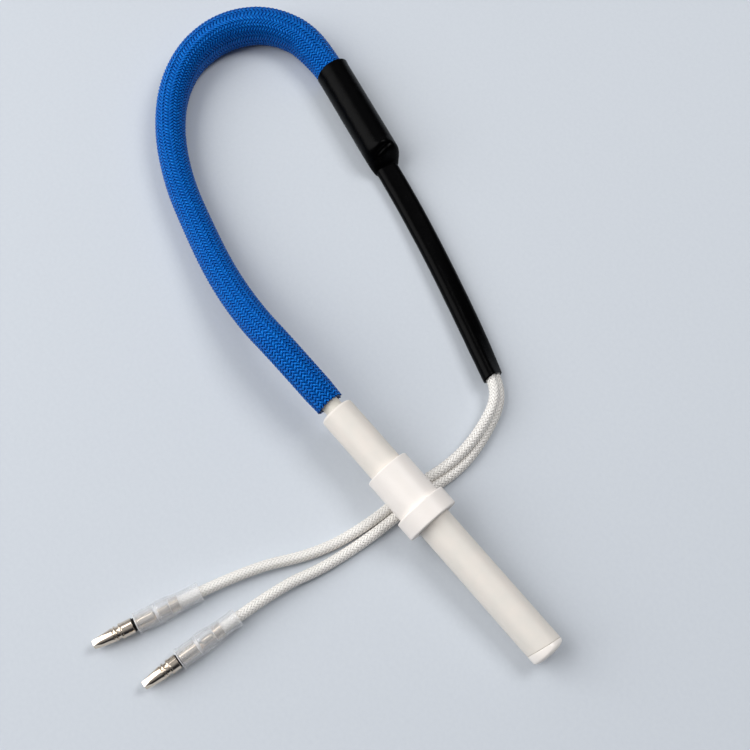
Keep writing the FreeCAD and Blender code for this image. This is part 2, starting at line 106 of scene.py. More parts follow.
middle = (-0.05, 0.0, 0.0)
soft_lamp("far_lamp", (0.04, 0.42, 0.62), middle, 0.30, 2.1)
soft_lamp("near_lamp", (-0.50, -0.46, 0.55), middle, 0.90, 7.4)
room = bpy.data.worlds.new("room")
room.use_nodes = True
tree = room.node_tree
pale_stretch = (-0.50, -0.12, 0.86)
outwards = wired(tree, "ShaderNodeTexCoord").outputs["Generated"]
nearness = wired(tree, "ShaderNodeVectorMath", {0: outwards, 1: pale_stretch},
                 operation="DOT_PRODUCT")
ceiling = wired(tree, "ShaderNodeMapRange", {
    "Value": nearness.outputs["Value"], "From Min": 0.22, "From Max": 0.80})
walls = wired(tree, "ShaderNodeMix", {
    "Factor": ceiling.outputs["Result"],
    "A": (0.030, 0.032, 0.040, 1),
    "B": (0.48, 0.49, 0.515, 1),
}, data_type="RGBA")
tree.links.new(walls.outputs["Result"], tree.nodes["Background"].inputs["Color"])
bpy.context.scene.world = room

# Camera: it looks down from high over the near side of the rod, some 20 degrees
# off plumb, and is level from left to right.
camera = bpy.data.objects.new("camera", bpy.data.cameras.new("camera"))
camera.data.lens = 52.8
camera.data.sensor_width = 36.0
camera_place = Vector((45.71, -55.35, 285.0)) * MM
look = Vector((-0.272, 0.238, -0.932)).normalized()
right = look.cross(UP).normalized()
facing = Matrix((right, right.cross(look), -look)).transposed().to_4x4()
camera.matrix_world = Matrix.Translation(camera_place) @ facing
bpy.context.scene.collection.objects.link(camera)
bpy.context.scene.camera = camera

# Winding: a resistance-wire coil on a twin-bore ceramic core, two nickel pins
# through its bores and magnesia packed round it. All of it is inside the rod.


def ceramic(name, pale, deep, roughness, patch=0.006, grain_depth=0.25):
    """Fired ceramic: broad warm and cool patches, small pores and a fine tooth."""
    finish, tree, shader = new_finish(name, Roughness=roughness, Specular_IOR_Level=0.45)
    place = wired(tree, "ShaderNodeTexCoord").outputs["Object"]
    patches = wired(tree, "ShaderNodeTexNoise", {
        "Vector": place, "Scale": 1 / patch, "Detail": 3.0, "Roughness": 0.55})
    spread = wired(tree, "ShaderNodeMapRange", {
        "Value": patches.outputs["Fac"], "From Min": 0.35, "From Max": 0.65})
    body = wired(tree, "ShaderNodeMix", {
        "Factor": spread.outputs["Result"], "A": (*deep, 1), "B": (*pale, 1)},
        data_type="RGBA")
    pores = wired(tree, "ShaderNodeTexNoise", {
        "Vector": place, "Scale": 2600.0, "Detail": 2.0, "Roughness": 0.7})
    specks = wired(tree, "ShaderNodeMapRange", {
        "Value": pores.outputs["Fac"], "From Min": 0.70, "From Max": 0.78,
        "To Min": 0.0, "To Max": 0.45})
    speckled = wired(tree, "ShaderNodeMix", {
        "Factor": specks.outputs["Result"], "A": body.outputs["Result"],
        "B": (0.45, 0.40, 0.33, 1)}, data_type="RGBA")
    tree.links.new(speckled.outputs["Result"], shader.inputs["Base Color"])
    tooth = wired(tree, "ShaderNodeTexNoise", {
        "Vector": place, "Scale": 9000.0, "Detail": 4.0})
    bump = wired(tree, "ShaderNodeBump", {
        "Height": tooth.outputs["Fac"], "Strength": grain_depth, "Distance": 0.00003})
    tree.links.new(bump.outputs["Normal"], shader.inputs["Normal"])
    return finish


def wire_metal(name, bright, dull, roughness, streak=2500.0, metallic=1.0):
    """Drawn or rolled metal: tone and polish vary in small streaks."""
    finish, tree, shader = new_finish(name, Metallic=metallic)
    place = wired(tree, "ShaderNodeTexCoord").outputs["Object"]
    streaks = wired(tree, "ShaderNodeTexNoise", {
        "Vector": place, "Scale": streak, "Detail": 4.0, "Roughness": 0.6})
    tone = wired(tree, "ShaderNodeMix", {
        "Factor": streaks.outputs["Fac"], "A": (*dull, 1), "B": (*bright, 1)},
        data_type="RGBA")
    tree.links.new(tone.outputs["Result"], shader.inputs["Base Color"])
    polish = wired(tree, "ShaderNodeMapRange", {
        "Value": streaks.outputs["Fac"],
        "To Min": roughness * 0.7, "To Max": roughness * 1.4})
    tree.links.new(polish.outputs["Result"], shader.inputs["Roughness"])
    return finish


def dress(finish, *names):
    """Gives CAD nodes whose shape is right their finish."""
    for name in names:
        mesh = frame["nodes"][name].data
        mesh.materials.clear()
        mesh.materials.append(finish)


dress(ceramic("core_ceramic", (0.74, 0.70, 0.61), (0.62, 0.58, 0.49), 0.6), "winding_core")
dress(ceramic("magnesia_powder", (0.80, 0.79, 0.74), (0.70, 0.68, 0.62), 0.9, 0.002, 0.8),
      "core_packing")
dress(wire_metal("oxidised_wire", (0.20, 0.18, 0.16), (0.08, 0.07, 0.065), 0.5),
      "heating_coil")
nickel_wire = wire_metal("nickel_wire", (0.62, 0.58, 0.52), (0.46, 0.43, 0.39), 0.3)
dress(nickel_wire, "cold_pin_a", "cold_pin_b")

# Rod: one extruded alumina tube, fired matt, with its rear edge rounded and a
# shallow seat ground round it for the collar. It rests on the rim of its tip and,
# by the collar, on the two leads.
rod_mount = next(m for m in frame["record"]["mounts"] if m["name"] == "heater_rod")
rod_axis = Vector(rod_mount["axis"]).normalized()
rod_side = UP.cross(rod_axis).normalized()
rod_mount_station = 21.3        # of the mount, from the collar's front face
rod_seat = Vector(rod_mount["pos_m"]) - rod_axis * rod_mount_station * MM
rod_place = Matrix((rod_axis, rod_side, rod_axis.cross(rod_side))).transposed().to_4x4()
rod_place = Matrix.Translation(rod_seat) @ rod_place
rod_r = 4.75
rod_bore_r = 3.5
rod_rear = -38.6
rod_front = 41.7
collar_rear = -18.3
seat_rear = collar_rear + 0.2
seat_r = 4.55
joint_station = 41.76           # of the joint between rod and tip plug
joint_reach = 0.25              # how near to it a corner leans with it
joint_back = 0.6                # how far back its middle lies
joint_slope = 0.18              # its lean, run over rise


def turned(outline, steps=96):
    """Corners of (station, radius, rounding) in mm, joined in a ring and spun round.

    The ring stays open on the axis, where its two ends spin to closed poles."""
    shape = bmesh.new()
    corners = [shape.verts.new((x * MM, 0, r * MM)) for x, r, _ in outline]
    for near, far in zip(corners, corners[1:] + corners[:1]):
        if max(near.co.z, far.co.z) > 0.001 * MM:
            shape.edges.new((near, far))
    for corner, (_, _, rounding) in zip(corners, outline):
        if rounding:
            bmesh.ops.bevel(shape, geom=[corner, *corner.link_edges], offset=rounding * MM,
                            offset_type="OFFSET", segments=4, profile=0.5,
                            affect="VERTICES", material=-1)
    bmesh.ops.spin(shape, geom=shape.verts[:] + shape.edges[:], cent=(0, 0, 0),
                   axis=(1, 0, 0), dvec=(0, 0, 0), angle=math.tau, steps=steps,
                   use_merge=True)
    bmesh.ops.remove_doubles(shape, verts=shape.verts[:], dist=0.002 * MM)
    return shape


def smooth_piece(name, shape, finish, body, replaced):
    """Makes a shape a smooth piece of the part, with its finish, riding on a body."""
    mesh = bpy.data.meshes.new(name)
    shape.to_mesh(mesh)
    shape.free()
    mesh.materials.append(finish)
    mesh.shade_smooth()
    piece = bpy.data.objects.new(name, mesh)
    bpy.context.scene.collection.objects.link(piece)
    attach(piece, body)
    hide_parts(*replaced)
    return piece


def finished(name, shape, finish, body, replaced, place=None, sharp=35.0):
    """Makes a closed shape a piece, faces outwards, moved to its place, edges sharp."""
    bmesh.ops.recalc_face_normals(shape, faces=shape.faces[:])
    if place:
        bmesh.ops.transform(shape, matrix=place, verts=shape.verts[:])
    piece = smooth_piece(name, shape, finish, body, replaced)
    piece.data.set_sharp_from_angle(angle=math.radians(sharp))
    return piece


def even_faces(piece):
    """Keeps flats and long walls from shading over their rounded edges."""
    piece.modifiers.new("even_faces", "WEIGHTED_NORMAL").keep_sharp = True


def lean_joint(shape):
    """Leans the joint of rod and tip plug, which were cemented a little askew."""
    for vertex in shape.verts:
        if abs(vertex.co.x / MM - joint_station) < joint_reach:
            vertex.co.x += joint_slope * vertex.co.y - joint_back * MM
    return shape


alumina = ceramic("fired_alumina", (0.80, 0.738, 0.668), (0.755, 0.715, 0.65), 0.5)
rod = finished("ceramic_rod", lean_joint(turned([
    (rod_rear, rod_bore_r, 0.15),
    (rod_rear, rod_r, 0.8),
    (seat_rear, rod_r, 0),
    (seat_rear, seat_r, 0),
    (0, seat_r, 0),
    (0, rod_r, 0),
    (rod_front, rod_r, 0.08),
    (rod_front, rod_bore_r, 0),
])), alumina, "igniter", ["heater_tube"], rod_place)
even_faces(rod)

# Tip plug: a glazed ceramic rim with a dome, on a stem cemented into the rod.
# The joint shows as a fine line behind the rim, which is wider on the near side.
stem_rear = 37.3
stem_r = 3.36
rim_rear = rod_front + 0.12
rim_front = 42.5
dome = 1.3
dome_points = 8
glazed = ceramic("glazed_alumina", (0.94, 0.88, 0.82), (0.90, 0.845, 0.785), 0.24, 0.004, 0.1)
finished("tip_plug_glazed", lean_joint(turned([
    (stem_rear, 0, 0),
    (stem_rear, stem_r, 0.3),
    (rim_rear, stem_r, 0),
    (rim_rear, rod_r, 0.12),
] + [
    (rim_front + dome * math.sin(math.pi / 2 * k / dome_points),
     rod_r * math.cos(math.pi / 2 * k / dome_points) ** 0.7, 0)
    for k in range(dome_points + 1)
])), glazed, "igniter", ["tip_plug"], rod_place, 40.0)
cement = ceramic("dry_cement", (0.66, 0.63, 0.57), (0.55, 0.52, 0.46), 0.9, 0.001, 0.7)
dress(cement, "rear_cement", "collar_cement")
tip_film = bmesh.new()
tip_film.from_mesh(frame["nodes"]["tip_cement"].data)
bmesh.ops.remove_doubles(tip_film, verts=tip_film.verts[:], dist=0.002 * MM)
bmesh.ops.transform(tip_film, matrix=rod_place.inverted(), verts=tip_film.verts[:])
finished("tip_cement_film", lean_joint(tip_film), cement, "igniter",
         ["tip_cement"], rod_place)

# Rear insulator: an off-white twin-bore tube, potted in the rod's open end,
# that carries the two pins back into the sleeve.
dress(ceramic("stub_ceramic", (0.77, 0.73, 0.65), (0.69, 0.655, 0.58), 0.55, 0.003),
      "rear_insulator")

# Collar: a flange and spigot turned in one piece of whiter ceramic, slid over
# the rod's ground seat and cemented there. Its flange seats the igniter.
collar_bore_r = 4.97
flange_r = 7.5
spigot_r = 6.25
flange_rear = -5.5
ground_alumina = ceramic("ground_alumina", (0.90, 0.84, 0.785), (0.875, 0.82, 0.765), 0.42,
                         0.008, 0.15)
collar = finished("mounting_collar_ground", turned([
    (0, collar_bore_r, 0.1),
    (0, flange_r, 0.45),
    (flange_rear, flange_r, 0.45),
    (flange_rear, spigot_r, 0.12),
    (collar_rear, spigot_r, 0.35),
    (collar_rear, collar_bore_r, 0.1),
]), ground_alumina, "igniter", ["mounting_collar"], rod_place)
even_faces(collar)

# Splices: two crimped nickel ferrules that join the pins to the leads, out of
# sight inside the sleeve.
dress(nickel_wire, "splice_ferrule_a", "splice_ferrule_b")

# Sleeve: a round glass-fibre braid, dyed blue and varnished, over both leads.
# It is pushed over the insulator, drops to the table and loops back, and where
# it bends it stands up as a tall oval. Its cut mouth is a little frayed.


def on_rod(station):
    """Point on the rod's axis, so many mm in front of the collar's face."""
    return rod_seat + rod_axis * station * MM


shrink_turn = math.radians(-14)
shrink_heading = Vector((math.cos(shrink_turn), math.sin(shrink_turn), 0))
shrink_mouth = Vector((-119.1, 71.7, 0)) * MM


def in_shrink(distance, height):
    """Point on the end shrink's line, so many mm in from its mouth and off the table."""
    return shrink_mouth + shrink_heading * distance * MM + UP * height * MM


def smooth_line(name, route):
    """Close points on the smooth line that a route's points control."""
    curve = bpy.data.curves.new(name, "CURVE")
    curve.dimensions = "3D"
    spline = curve.splines.new("NURBS")
    spline.points.add(len(route) - 1)
    for point, spot in zip(spline.points, route):
        point.co = (*spot, 1)
    spline.order_u = 3
    spline.use_endpoint_u = True
    spline.resolution_u = 32
    holder = bpy.data.objects.new(name, curve)
    mesh = bpy.data.meshes.new_from_object(holder)
    line = [vertex.co.copy() for vertex in mesh.vertices]
    bpy.data.objects.remove(holder)
    bpy.data.curves.remove(curve)
    bpy.data.meshes.remove(mesh)
    return line


class Lay:
    """How a cord lies: its line in even steps, with the side and the top of each."""

    def __init__(self, name, route, step=0.25 * MM):
        line = smooth_line(name, route)
        reached = [0.0]
        for near, far in zip(line, line[1:]):
            reached.append(reached[-1] + (far - near).length)
        self.length = reached[-1]
        count = round(self.length / step)
        self.step = self.length / count
        self.spots = []
        index = 0
        for k in range(count + 1):
            distance = self.step * k
            while index < len(line) - 2 and reached[index + 1] < distance:
                index += 1
            share = (distance - reached[index]) / (reached[index + 1] - reached[index])
            self.spots.append(line[index].lerp(line[index + 1], share))
        self.sides = []
        self.tops = []
        for k in range(count + 1):
            ahead = self.spots[min(k + 2, count)] - self.spots[max(k - 2, 0)]
            side = ahead.cross(UP).normalized()
            self.sides.append(side)
            self.tops.append(side.cross(ahead).normalized())

    def at(self, distance):
        """Spot, side and top at a distance along the line."""
        place = min(max(distance / self.step, 0.0), len(self.spots) - 1.001)
        k = int(place)
        share = place - k
        return (self.spots[k].lerp(self.spots[k + 1], share),
                self.sides[k].lerp(self.sides[k + 1], share),
                self.tops[k].lerp(self.tops[k + 1], share))


def eased(knots, distance):
    """Value between (distance, value) knots, with no corner at a knot."""
    for (start, low), (end, high) in zip(knots, knots[1:]):
        if distance <= end:
            share = min(max((distance - start) / (end - start), 0.0), 1.0)
            return low + (high - low) * share * share * (3 - 2 * share)
    return knots[-1][1]


def tube_skin(shape, rings, layer=None, tone=0.0):
    """Joins rings of points into an open tube, and returns its end loops."""
    loops = [[shape.verts.new(point) for point in ring] for ring in rings]
    if layer:
        for loop in loops:
            for vertex in loop:
                vertex[layer] = tone
    for near, far in zip(loops, loops[1:]):
        for k in range(len(near)):
            shape.faces.new((near[k - 1], near[k], far[k], far[k - 1]))
    return loops[0], loops[-1]


def braid(shape, tone, uv, surface, girth, start, end, yarns, pitch, width, rise, stride,
          crest_light_share, ragged=0.0):
    """Two-over-two braid on surface(distance, angle, height): yarns wound both ways.

    Each yarn is a low arched ribbon that rises over two others and dives under two.
    The share after the stride is how far its tone follows its height, and not the yarn: painted
    highlight on each crest, painted shade where it dips and along its edges. Ragged is how
    unevenly the yarns start."""
    slant = girth / pitch
    stretch = math.hypot(1, slant)
    crossing = pitch / (2 * yarns)
    arch = ((-1.0, -0.9), (-0.42, 0.45), (0.42, 0.45), (1.0, -0.9))
    pattern_apart = 5.3             # from yarn to yarn, so that no two look alike
    pattern_run = 6                 # of the pattern's unit, in yarn widths
    for hand in (1, -1):
        for yarn in range(yarns):
            shade = random.random()
            first = start + random.random() * ragged
            count = max(2, round((end - first) / stride))
            before = None
            for k in range(count + 1):
                distance = first + (end - first) * k / count
                turns = yarn / yarns + hand * distance / pitch
                phase = 2 * yarn + hand * distance / crossing - 0.5
                wave = hand * math.cos(math.pi / 2 * phase)
                row = []
                for across, crown in arch:
                    offset = across * width / 2
                    angle = math.tau * (turns + offset / stretch / girth)
                    along = distance - hand * offset * slant / stretch
                    spot = surface(along, angle, rise * wave + crown * 0.5 * rise)
                    vertex = shape.verts.new(spot)
                    # Painted highlight and shade: the tone is lighter on each float's crest and
                    # darker where the yarn dips and along its edges.
                    crest = (0.5 + 0.5 * wave) * (0.7 + 0.65 * crown)
                    vertex[tone] = (1 - crest_light_share) * shade + crest_light_share * max(crest, 0.0)
                    row.append(vertex)
                if before:
                    ahead = (pattern_apart * (2 * yarn + hand)
                             + distance / width / pattern_run)
                    behind = ahead - (end - first) / count / width / pattern_run
                    for j in range(3):
                        face = shape.faces.new(
                            (before[j], row[j], row[j + 1], before[j + 1]))
                        sides = (j / 3, j / 3, (j + 1) / 3, (j + 1) / 3)
                        ends = (behind, ahead, ahead, behind)
                        for loop, v, u in zip(face.loops, sides, ends):
                            loop[uv].uv = (u, v)
                before = row


def yarn_finish(name, pale, deep, gap, roughness, lustre, gloss, tint):
    """Varnished glass yarn: fine filaments along it and a tone of its own, which also carries
    painted highlight and shade, and a dark colour in the gaps that is painted shade.
    """
    finish, tree, shader = new_finish(name, Metallic=lustre, Specular_IOR_Level=gloss,
                                      Specular_Tint=(*tint, 1))
    shade = wired(tree, "ShaderNodeAttribute", attribute_name="tone")
    yarn = wired(tree, "ShaderNodeUVMap", uv_map="yarn")
    spread = wired(tree, "ShaderNodeMapping", {"Vector": yarn.outputs["UV"],
                                               "Scale": (1.5, 16.0, 1.0)})
    filaments = wired(tree, "ShaderNodeTexNoise", {
        "Vector": spread.outputs["Vector"], "Scale": 1.0, "Detail": 3.0, "Roughness": 0.6})
    mixed = wired(tree, "ShaderNodeMath", {0: filaments.outputs["Fac"],
                                           1: shade.outputs["Fac"]})
    level = wired(tree, "ShaderNodeMapRange", {"Value": mixed.outputs["Value"],
                                               "From Min": 0.3, "From Max": 1.7})
    colour = wired(tree, "ShaderNodeMix", {
        "Factor": level.outputs["Result"], "A": (*deep, 1), "B": (*pale, 1)},
        data_type="RGBA")
    # Painted shade: the surface under the yarns, marked by a tone below nought, takes the dark
    # gap colour.
    in_gap_shade = wired(tree, "ShaderNodeMath", {0: shade.outputs["Fac"], 1: 0.0},
                   operation="LESS_THAN")
    dye_and_painted_light = wired(tree, "ShaderNodeMix", {
        "Factor": in_gap_shade.outputs["Value"], "A": colour.outputs["Result"],
        "B": (*gap, 1)}, data_type="RGBA")
    tree.links.new(dye_and_painted_light.outputs["Result"], shader.inputs["Base Color"])
    rough = wired(tree, "ShaderNodeMapRange", {
        "Value": filaments.outputs["Fac"],
        "To Min": roughness * 0.7, "To Max": roughness * 1.3})
    tree.links.new(rough.outputs["Result"], shader.inputs["Roughness"])
    bump = wired(tree, "ShaderNodeBump", {
        "Height": filaments.outputs["Fac"], "Strength": 0.4, "Distance": 0.00005})
    tree.links.new(bump.outputs["Normal"], shader.inputs["Normal"])
    return finish


random.seed(11)
loop_height = 6.1
sleeve_route = [
    on_rod(-40.8),
    on_rod(-60.0),
    Vector((-70.0, 0.4, 10.4)) * MM,
    Vector((-86.5, 3.0, 7.2)) * MM,
    Vector((-103.0, 7.6, 5.2)) * MM,
    Vector((-119.0, 12.6, 4.7)) * MM,
    Vector((-134.2, 20.5, 4.9)) * MM,
    Vector((-146.0, 31.0, 5.4)) * MM,
    Vector((-152.2, 43.5, loop_height)) * MM,
    Vector((-152.2, 57.5, loop_height)) * MM,
    Vector((-144.5, 69.2, 5.9)) * MM,
    in_shrink(-10.0, 5.3),
    in_shrink(17.0, 5.25),
]
sleeve_lay = Lay("sleeve_line", sleeve_route)
sleeve_half_width = [(0, 3.75), (6, 4.0), (40, 4.2), (90, 4.1), (125, 4.2), (150, 4.7),
                     (174, 4.75), (184, 4.35), (210, 4.3)]
sleeve_half_height = [(0, 3.85), (6, 4.0), (40, 4.15), (75, 4.5), (105, 5.2), (130, 5.95),
                      (160, 5.95), (184, 4.4), (210, 4.3)]
sleeve_squareness = [(0, 0.0), (60, 0.04), (110, 0.20), (165, 0.20), (184, 0.0)]
yarn_room = 0.42                # under the braid's middle, for the yarns that stand proud


def sleeve_surface(distance, angle, height):
    """Point on the sleeve's oval, which never reaches below the table."""
    spot, side, top = sleeve_lay.at(distance)
    at = distance / MM
    half_width = eased(sleeve_half_width, at) * MM + height
    half_height = min(eased(sleeve_half_height, at) * MM, spot.z - yarn_room * MM) + height
    power = 1 - eased(sleeve_squareness, at)
    across = math.copysign(abs(math.cos(angle)) ** power, math.cos(angle))
    above = math.copysign(abs(math.sin(angle)) ** power, math.sin(angle))
    return spot + side * half_width * across + top * half_height * above


sleeve_shape = bmesh.new()
tone = sleeve_shape.verts.layers.float.new("tone")
uv = sleeve_shape.loops.layers.uv.new("yarn")
# A thin dark sheet lies under the yarns, so that nothing shows through the gaps; its near-black
# colour is painted shade between the yarns.
shade_sheet_mouth = 0.35
shade_sheet_depths = (0.22, 0.60)    # of its outer and inner wall, under the yarns' middle
shade_sheet_rings = 110
shade_sheet_angles = [math.tau * k / 40 for k in range(40)]
shade_sheet_steps = [
    shade_sheet_mouth * MM + (sleeve_lay.length - shade_sheet_mouth * MM) * k / shade_sheet_rings
    for k in range(shade_sheet_rings + 1)
]
shade_sheet_ends = [
    tube_skin(sleeve_shape, [
        [sleeve_surface(distance, angle, -depth * MM) for angle in shade_sheet_angles]
        for distance in shade_sheet_steps
    ], tone, -1.0)
    for depth in shade_sheet_depths
]
for outer_loop, inner_loop in zip(*shade_sheet_ends):
    for k in range(len(outer_loop)):
        sleeve_shape.faces.new(
            (outer_loop[k - 1], outer_loop[k], inner_loop[k], inner_loop[k - 1]))
bmesh.ops.recalc_face_normals(sleeve_shape, faces=sleeve_shape.faces[:])
braid(sleeve_shape, tone, uv, sleeve_surface, girth=27.2 * MM, start=0.1 * MM,
      end=190.0 * MM, yarns=24, pitch=26.0 * MM, width=0.66 * MM, rise=0.25 * MM,
      stride=0.33 * MM, crest_light_share=0.75, ragged=0.35 * MM)

# Loose filaments stand out of the cut mouth, each a hair of the same yarn.
loose_filaments = 46
filament_half_width = 0.035
for _ in range(loose_filaments):
    angle = random.random() * math.tau
    lean = random.uniform(-0.5, 0.5)
    reach = random.uniform(0.3, 1.3) * MM
    shade = random.random()
    before = None
    for k in range(5):
        share = k / 4
        spot = sleeve_surface(0.9 * MM, angle + lean * share ** 2, 0.25 * MM * share)
        spot = spot + rod_axis * reach * share
        _, side, top = sleeve_lay.at(0)
        row = []
        for sideways in (-1, 1):
            wide = (side * -math.sin(angle) + top * math.cos(angle)) * filament_half_width
            vertex = sleeve_shape.verts.new(spot + wide * MM * sideways * (1.2 - share))
            vertex[tone] = shade
            row.append(vertex)
        if before:
            sleeve_shape.faces.new((before[0], before[1], row[1], row[0]))
        before = row

# Its third colour, a near-black navy, is painted shade in the gaps between the yarns.
blue_yarn = yarn_finish("blue_glass_yarn", (0.003, 0.165, 0.59), (0.0003, 0.018, 0.22),
                        (0.0, 0.003, 0.045), 0.24, 0.25, 0.32, (0.12, 0.60, 1.0))
sleeve = smooth_piece("blue_braided_sleeve", sleeve_shape, blue_yarn, "igniter",
                      ["braided_sleeve"])

# Leads: two stranded nickel wires, each in a varnished white glass-fibre braid.
# They run side by side through the sleeve and the films, pass under the collar
# and part to their terminals.
lead_r = 1.4
half_pitch = 1.45
wire_z = 1.45
pair_centre = [
    on_rod(-54.6),
    on_rod(-64.0),
    Vector((-72.0, 0.4, 9.9)) * MM,
    Vector((-87.0, 3.0, 6.9)) * MM,
    Vector((-103.0, 7.6, 4.5)) * MM,
    Vector((-119.0, 12.6, 3.9)) * MM,
    Vector((-134.2, 20.5, 3.9)) * MM,
    Vector((-146.0, 31.0, 3.9)) * MM,
    Vector((-152.2, 43.5, 3.9)) * MM,
    Vector((-152.2, 57.5, 3.9)) * MM,
    Vector((-144.5, 69.2, 4.0)) * MM,
    in_shrink(-10.0, 4.4),
    in_shrink(12.0, 4.2),
    in_shrink(27.7, 2.97),
    in_shrink(47.7, 2.15),
    Vector((-52.0, 53.8, 1.95)) * MM,
    Vector((-30.7, 46.55, 1.95)) * MM,
    Vector((-19.6, 42.4, 1.95)) * MM,
    Vector((-9.3, 38.5, 1.75)) * MM,
    Vector((-4.6, 27.0, wire_z)) * MM,
    Vector((-2.8, 15.9, wire_z)) * MM,
    Vector((-4.8, 3.2, wire_z)) * MM,
    Vector((-4.6, -9.2, wire_z)) * MM,
]
# Where the films end, the pair twists and lead a climbs half over lead b: at these
# points of the route, each lead lies so far from the middle in plan.
close_up = {15: 1.36, 16: 1.28, 17: 1.10, 18: 0.66, 19: 0.90, 20: 1.22}
# Each terminal has its tip and its heading in degrees. Back from the tip lie its neck, painted
# dark as shade in front of the cover, its cover's mouth and the point where its lead turns
# straight. Its lead lies on one side of the pair, and its tail gives the last two corners in
# plan.
terminals = {
    "a": {
        "tip": Vector((-28.39, -84.42, 3.02)) * MM,
        "heading": 76.0,
        "neck": 10.8,
        "cover": 11.7,
        "straight": 42.0,
        "beside": half_pitch,
        "tail": [(-6.3, -11.3), (-9.3, -27.0)],
    },
    "b": {
        "tip": Vector((-12.09, -80.82, 3.02)) * MM,
        "heading": 85.7,
        "neck": 10.0,
        "cover": 10.5,
        "straight": 40.5,
        "beside": -half_pitch,
        "tail": [(-3.2, -10.8), (-5.3, -28.0)],
    },
}
braid_end = 20.8                # back from the terminal's tip
braided_length = 140.0          # the films and the sleeve hide the rest
ring_apart = 1.2
lead_off_table = 0.02


def flat(run):
    """A run in plan."""
    return Vector((run.x, run.y, 0))


def to_the_right(before, here, after, distance):
    """Corner of a route moved sideways in plan, so both runs stay parallel."""
    run_in = flat(here - before).normalized()
    run_out = flat(after - here).normalized()
    square = (run_in + run_out).normalized()
    return here + square.cross(UP) * (distance / math.cos(run_in.angle(run_out) / 2))


def lead_surface(lay, swell):
    """The round surface of one lead, as the braid reads it, kept off the table."""
    def surface(distance, angle, height):
        spot, side, top = lay.at(distance)
        radius = swell * MM + height
        point = spot + (side * math.cos(angle) + top * math.sin(angle)) * radius
        point.z = max(point.z, lead_off_table * MM)
        return point
    return surface


# The third colour, greyer than the yarns, is painted shade in the gaps between them.
white_yarn = yarn_finish("white_glass_yarn", (1.0, 0.965, 0.91), (0.76, 0.73, 0.68),
                         (0.50, 0.475, 0.44), 0.22, 0.0, 1.0, (1, 1, 1))
for name, terminal in terminals.items():
    direction = Matrix.Rotation(math.radians(terminal["heading"]), 3, "Z") @ Vector((1, 0, 0))
    route = [pair_centre[0] - rod_side * terminal["beside"] * MM]
    for k in range(1, len(pair_centre) - 1):
        spacing = close_up.get(k, half_pitch)
        climb = math.sqrt(half_pitch ** 2 - spacing ** 2) if name == "a" else 0.0
        sideways = math.copysign(spacing, terminal["beside"])
        corner = to_the_right(*pair_centre[k - 1:k + 2], sideways * MM)
        route.append(corner + UP * 2 * climb * MM)
    route += [Vector((x, y, wire_z)) * MM for x, y in terminal["tail"]]
    route.append(terminal["tip"] + direction * terminal["straight"] * MM)
    route.append(terminal["tip"] + direction * braid_end * MM)
    lay = Lay("lead_line_" + name, route)
    terminal["lay"] = lay
    shape = bmesh.new()
    tone = shape.verts.layers.float.new("tone")
    uv = shape.loops.layers.uv.new("yarn")
    shown_from = lay.length - braided_length * MM
    lead_angles = [math.tau * k / 20 for k in range(20)]
    hidden = lead_surface(lay, lead_r)
    core = lead_surface(lay, lead_r - 0.2)
    steps = round(lay.length / (ring_apart * MM))
    rings = []
    for k in range(steps + 1):
        distance = lay.length * k / steps
        skin = core if distance > shown_from else hidden
        rings.append([skin(distance, angle, 0) for angle in lead_angles])
    # The under-surface takes that gap colour: painted shade between the yarns.
    first, last = tube_skin(shape, rings, tone, -1.0)
    shape.faces.new(first)
    shape.faces.new(last)
    bmesh.ops.recalc_face_normals(shape, faces=shape.faces[:])
    braid(shape, tone, uv, lead_surface(lay, lead_r - 0.01), girth=8.8 * MM,
          start=shown_from, end=lay.length - 0.1 * MM, yarns=10, pitch=10.8 * MM,
          width=0.50 * MM, rise=0.11 * MM, stride=0.25 * MM, crest_light_share=0.8)
    smooth_piece("white_braided_lead_" + name, shape, white_yarn, "igniter",
                               ["lead_%s_braid" % name, "lead_%s_core" % name])

# End shrink: black heat-shrink tube over the sleeve's end. It is round over the
# sleeve, drops off its edge in a puckered shoulder and grips the pair below.
shrink_body_r = 5.2
shrink_length = 37.2
neck_half_width = 4.15
neck_half_height = 2.6
neck_aside = 0.3                # its middle lies this far to the inside of the loop
shoulder_start = 29.0           # inside the loop
shoulder_delay = 3.4            # so much later it starts outside the loop
shoulder_run = 7.5              # its length inside the loop
shoulder_haste = 3.0            # so much shorter it is outside the loop
neck_start = 34.5
neck_run = 2.7
turned_in_start = 36.4
shrink_off_table = 0.15


